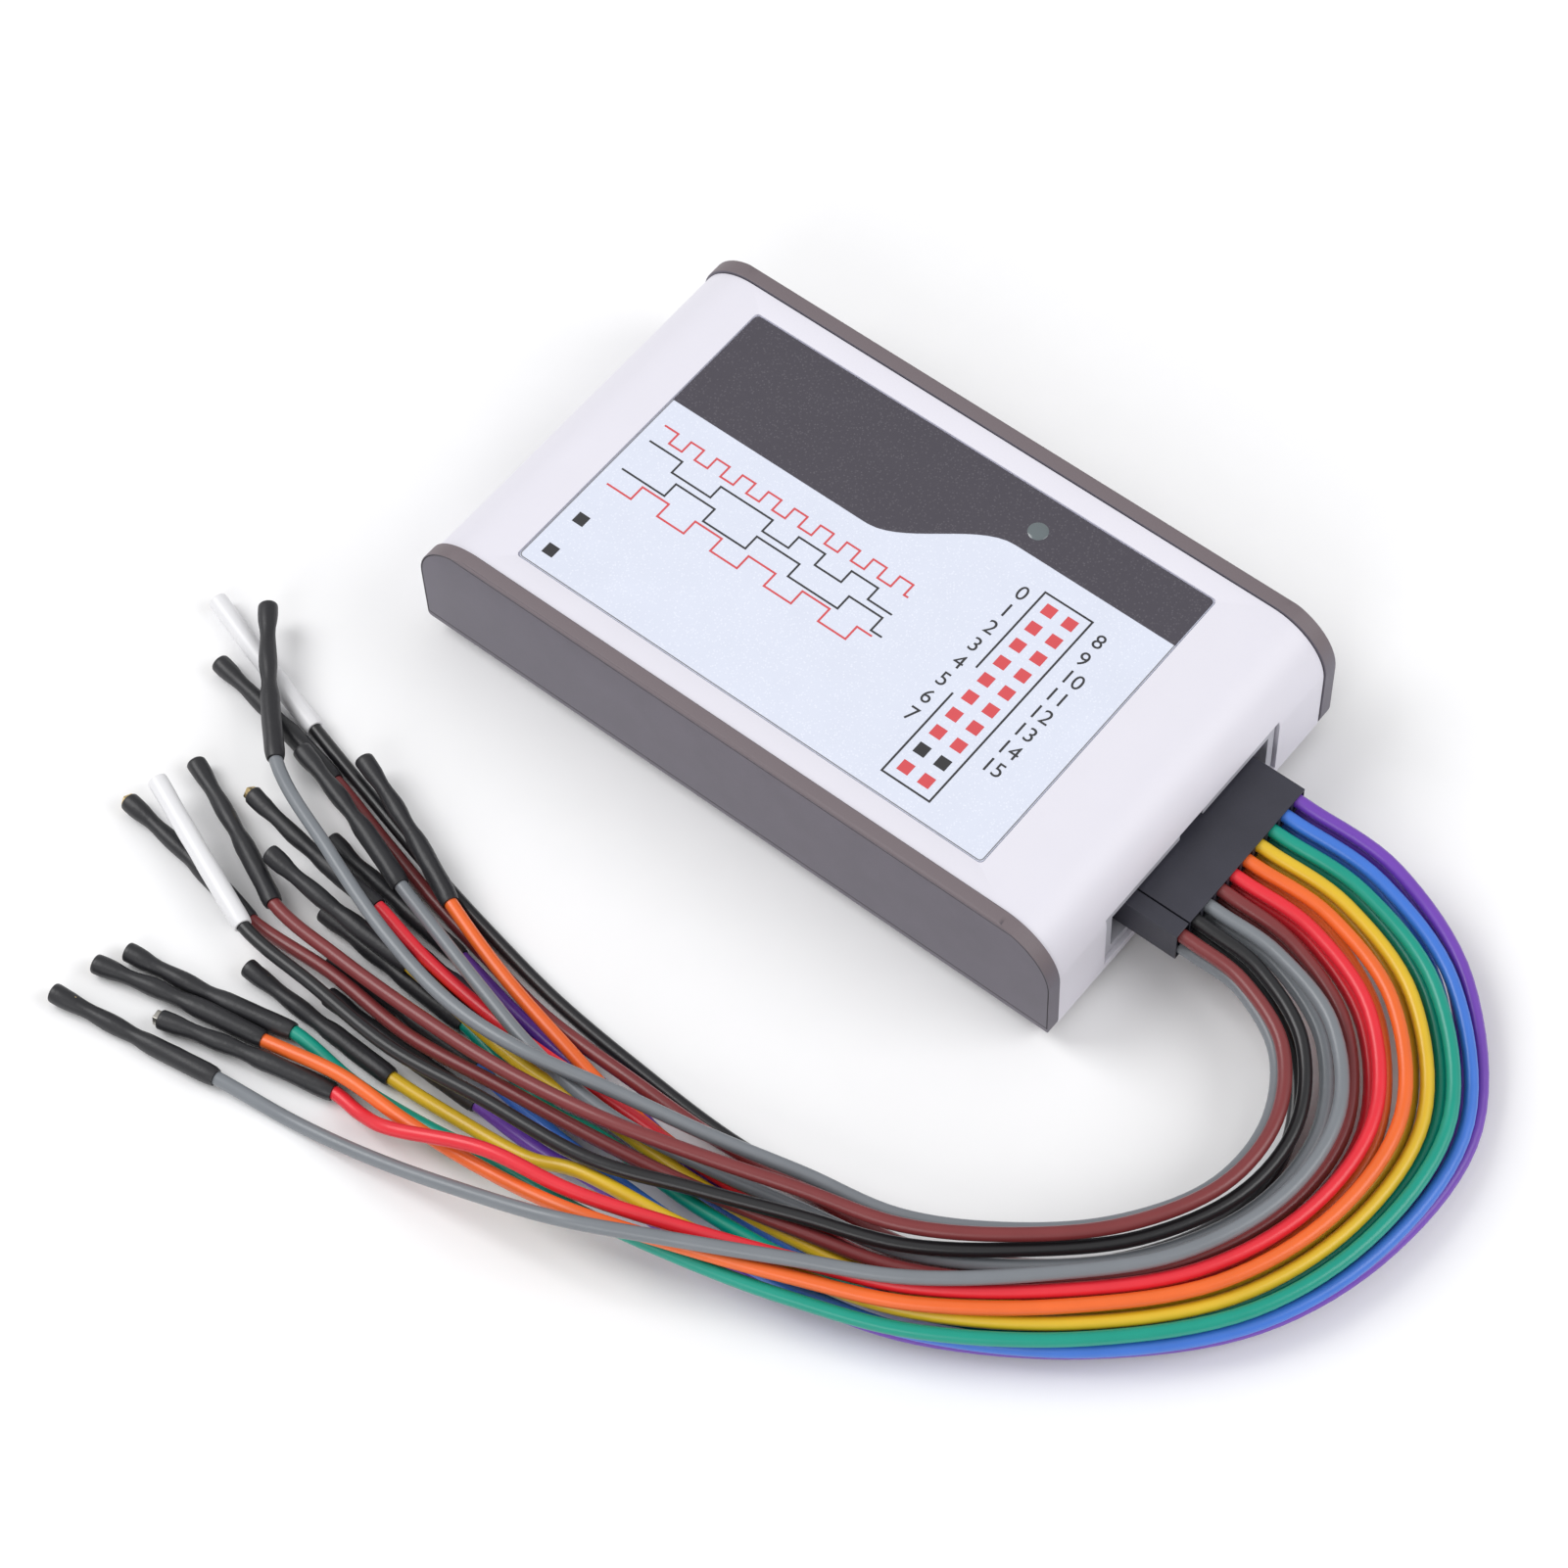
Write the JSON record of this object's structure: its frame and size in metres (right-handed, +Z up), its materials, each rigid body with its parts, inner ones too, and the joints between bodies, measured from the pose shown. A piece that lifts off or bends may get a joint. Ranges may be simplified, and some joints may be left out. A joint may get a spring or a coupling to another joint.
{
  "type": "logic analyzer",
  "caption": "Pocket logic analyzer: flat two-shell plastic box with a printed face label, a USB socket in one end and a plugged-in harness of coloured test leads in the other.",
  "frame": {"origin": "bottom centre of the box, on the surface that its rubber feet stand on", "axes": "+X along the box towards the probe connector, +Z up out of the labelled face, -Y towards the side that the leads lie on"},
  "size_m": [0.1664, 0.1236, 0.02],
  "materials": {
    "grey_plastic": "fine texture",
    "white_plastic": "satin",
    "label_film": "fine speckle, satin",
    "lens": "clear, dark behind",
    "steel": "satin",
    "rubber": "matte",
    "board": "solder mask, satin",
    "header_plastic": "satin",
    "gold_plate": "polished",
    "chip_plastic": "matte",
    "led": "clear",
    "ceramic": "matte",
    "tantalum": "satin",
    "ferrite": "matte",
    "plug_plastic": "satin",
    "contact_tin": "satin",
    "sleeve_black": "satin",
    "sleeve_white": "satin",
    "silicone_brown": "satin",
    "silicone_grey": "satin",
    "silicone_black": "satin",
    "silicone_red": "satin",
    "silicone_orange": "satin",
    "silicone_yellow": "satin",
    "silicone_green": "satin",
    "silicone_blue": "satin",
    "silicone_purple": "satin"
  },
  "bodies": {
    "case": {"base_shell": "grey_plastic", "top_shell": "white_plastic", "face_label": "label_film", "status_lens": "lens", "case_screws": "steel", "board_screws": "steel", "rubber_feet": "rubber", "circuit_board": "board", "probe_header": "header_plastic", "header_pins": "gold_plate", "usb_socket": "steel", "usb_tongue": "chip_plastic", "logic_chip": "chip_plastic", "usb_controller": "chip_plastic", "memory_chip": "chip_plastic", "comparator_chips": "chip_plastic", "clock_crystal": "steel", "status_led": "led", "led_spacer": "chip_plastic", "input_resistors": "chip_plastic", "small_capacitors": "ceramic", "tantalum_capacitors": "tantalum", "voltage_regulator": "chip_plastic", "power_inductor": "ferrite", "resettable_fuse": "ceramic", "config_memory": "chip_plastic"},
    "harness": {"lead_grey_1": "silicone_grey", "lead_brown_1": "silicone_brown", "lead_black_1": "silicone_black", "lead_black_2": "silicone_black", "lead_grey_2": "silicone_grey", "lead_grey_3": "silicone_grey", "lead_brown_2": "silicone_brown", "lead_brown_3": "silicone_brown", "lead_red_1": "silicone_red", "lead_red_2": "silicone_red", "lead_orange_1": "silicone_orange", "lead_orange_2": "silicone_orange", "lead_yellow_1": "silicone_yellow", "lead_yellow_2": "silicone_yellow", "lead_green_1": "silicone_green", "lead_green_2": "silicone_green", "lead_blue_1": "silicone_blue", "lead_blue_2": "silicone_blue", "lead_purple_1": "silicone_purple", "lead_purple_2": "silicone_purple", "main_plug": "plug_plastic", "output_plug": "plug_plastic", "plug_contacts": "contact_tin", "black_sleeves": "sleeve_black", "white_sleeves": "sleeve_white", "probe_contacts": "gold_plate"}
  },
  "joints": [
    {"name": "harness_pull", "type": "slide", "parent": "case", "child": "harness", "axis": [1, 0, 0], "range_m": [0, 0.01]}
  ]
}
